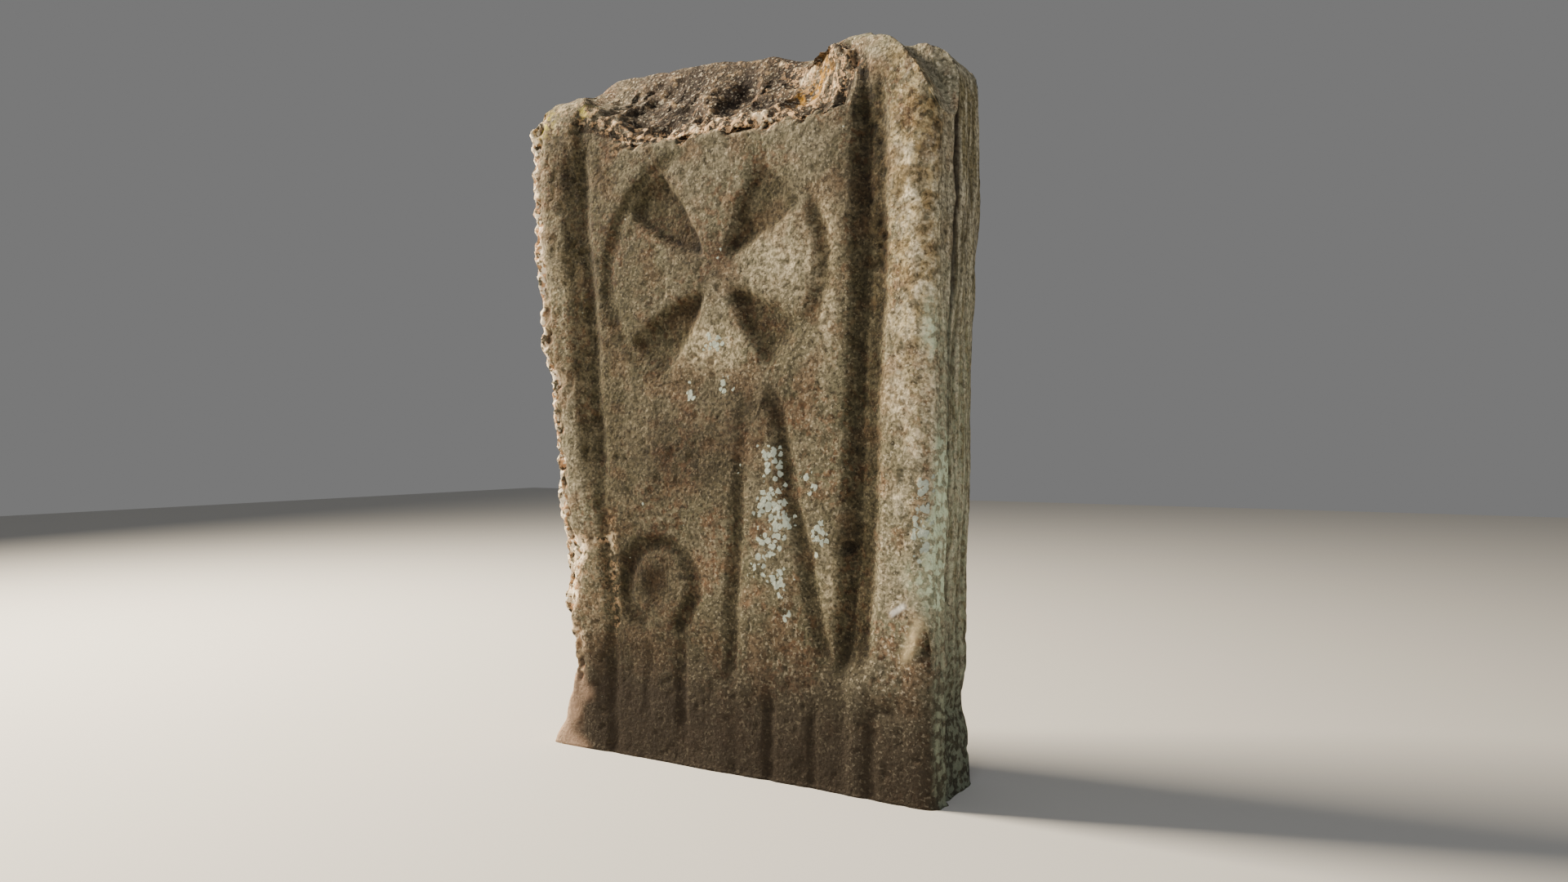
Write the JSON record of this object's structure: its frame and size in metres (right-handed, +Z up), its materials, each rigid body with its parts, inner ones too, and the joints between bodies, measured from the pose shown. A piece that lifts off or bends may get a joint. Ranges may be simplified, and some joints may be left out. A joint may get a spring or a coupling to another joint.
{
  "type": "headstone",
  "caption": "Upright weathered sandstone slab with a carved ring cross, shaft, disc on a stalk and border bands, a broken top and a flat foot.",
  "frame": {"origin": "middle of the slab's bounding box at the flat foot, on the surface it stands on", "axes": "+Z up the slab, +Y from the carved front to the back, +X to the right of a viewer who faces the carving"},
  "size_m": [0.6424, 0.1398, 0.9436],
  "materials": {
    "sandstone": "weathered rough sandstone, mottled buff and brown, with soil in the grooves and pale lichen"
  },
  "bodies": {
    "root": {"headstone": "sandstone"}
  },
  "joints": []
}
